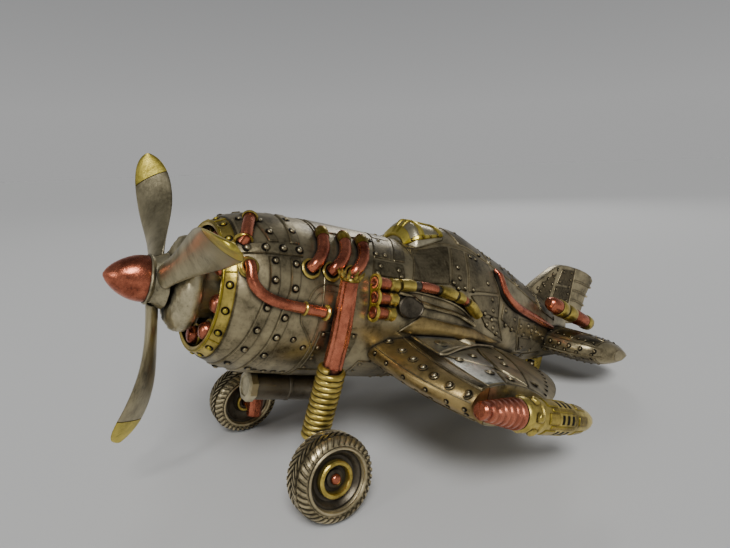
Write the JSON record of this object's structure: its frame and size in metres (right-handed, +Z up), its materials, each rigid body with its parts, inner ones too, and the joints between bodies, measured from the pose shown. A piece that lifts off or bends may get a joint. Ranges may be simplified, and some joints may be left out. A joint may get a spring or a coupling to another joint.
{
  "type": "steampunk model aeroplane",
  "caption": "Ornamental radial-engined model aeroplane in bronze, brass and copper tones, with a turning propeller and rolling wheels.",
  "frame": {"origin": "centre of the model's box, on the surface that it stands on", "axes": "+X aft along the model, nose at -X; +Y to starboard; +Z up"},
  "size_m": [0.2152, 0.1298, 0.1012],
  "materials": {
    "aged_brass": "yellow brass, brown wash in the grooves",
    "blade_pewter": "brushed along the blade, antiqued",
    "bronze_skin": "antiqued bronze, dark wash in the recesses, rubbed bright on the edges",
    "brown_brass": "brown antiqued brass with riveted edge",
    "copper": "reddish copper, rubbed bright on the crowns",
    "dark_bronze": "dark patina",
    "pane_pewter": "satin silver, moulded solid",
    "tyre_pewter": "antiqued silver-gold tread",
    "worn_pewter": "rough cast, antiqued silver-gold"
  },
  "bodies": {
    "airframe": {"belly_tube": "dark_bronze", "breather_pipe": "copper", "canopy_frame": "aged_brass", "canopy_glazing": "pane_pewter", "cowling": "bronze_skin", "cowling_lip": "aged_brass", "crankcase": "dark_bronze", "cylinder_heads": "copper", "fin": "bronze_skin", "fuselage_front": "bronze_skin", "fuselage_rear": "bronze_skin", "gear_case": "worn_pewter", "port_axle": "dark_bronze", "port_axle_bolt": "copper", "port_exhaust_manifold": "copper", "port_exhaust_stub_1": "copper", "port_exhaust_stub_2": "copper", "port_exhaust_stub_3": "copper", "port_intake_pipe": "copper", "port_leg": "copper", "port_leg_coil": "aged_brass", "port_pod_barrel": "copper", "port_pod_housing": "aged_brass", "port_side_pipe": "aged_brass", "port_tail_pipe": "copper", "port_tail_pod": "copper", "port_tailplane": "bronze_skin", "port_wing": "bronze_skin", "port_wing_leading_band": "brown_brass", "rudder": "bronze_skin", "starboard_axle": "dark_bronze", "starboard_axle_bolt": "copper", "starboard_exhaust_manifold": "copper", "starboard_exhaust_stub_1": "copper", "starboard_exhaust_stub_2": "copper", "starboard_exhaust_stub_3": "copper", "starboard_intake_pipe": "copper", "starboard_leg": "copper", "starboard_leg_coil": "aged_brass", "starboard_pod_barrel": "copper", "starboard_pod_housing": "aged_brass", "starboard_side_pipe": "aged_brass", "starboard_tail_pipe": "copper", "starboard_tail_pod": "copper", "starboard_tailplane": "bronze_skin", "starboard_wing": "bronze_skin", "starboard_wing_leading_band": "brown_brass", "tail_fork": "aged_brass"},
    "propeller": {"propeller_blade_1": "blade_pewter", "propeller_blade_2": "blade_pewter", "propeller_blade_3": "blade_pewter", "propeller_hub": "worn_pewter", "spinner": "copper"},
    "port_wheel": {"port_tyre": "tyre_pewter", "port_wheel_disc": "dark_bronze"},
    "starboard_wheel": {"starboard_tyre": "tyre_pewter", "starboard_wheel_disc": "dark_bronze"},
    "tail_wheel_body": {"tail_wheel": "tyre_pewter"}
  },
  "joints": [
    {"name": "propeller_spin", "type": "hinge", "parent": "airframe", "child": "propeller", "pos_m": [-0.09227, 0, 0.0667], "axis": [0.9636, 0, -0.2674], "continuous": true},
    {"name": "port_wheel_spin", "type": "hinge", "parent": "airframe", "child": "port_wheel", "pos_m": [-0.05988, -0.03179, 0.01215], "axis": [0, -0.9925, 0.1219], "continuous": true},
    {"name": "starboard_wheel_spin", "type": "hinge", "parent": "airframe", "child": "starboard_wheel", "pos_m": [-0.05988, 0.03179, 0.01215], "axis": [0, 0.9925, 0.1219], "continuous": true},
    {"name": "tail_wheel_spin", "type": "hinge", "parent": "airframe", "child": "tail_wheel_body", "pos_m": [0.06471, 0, 0.003], "axis": [0, -1, 0], "continuous": true}
  ]
}
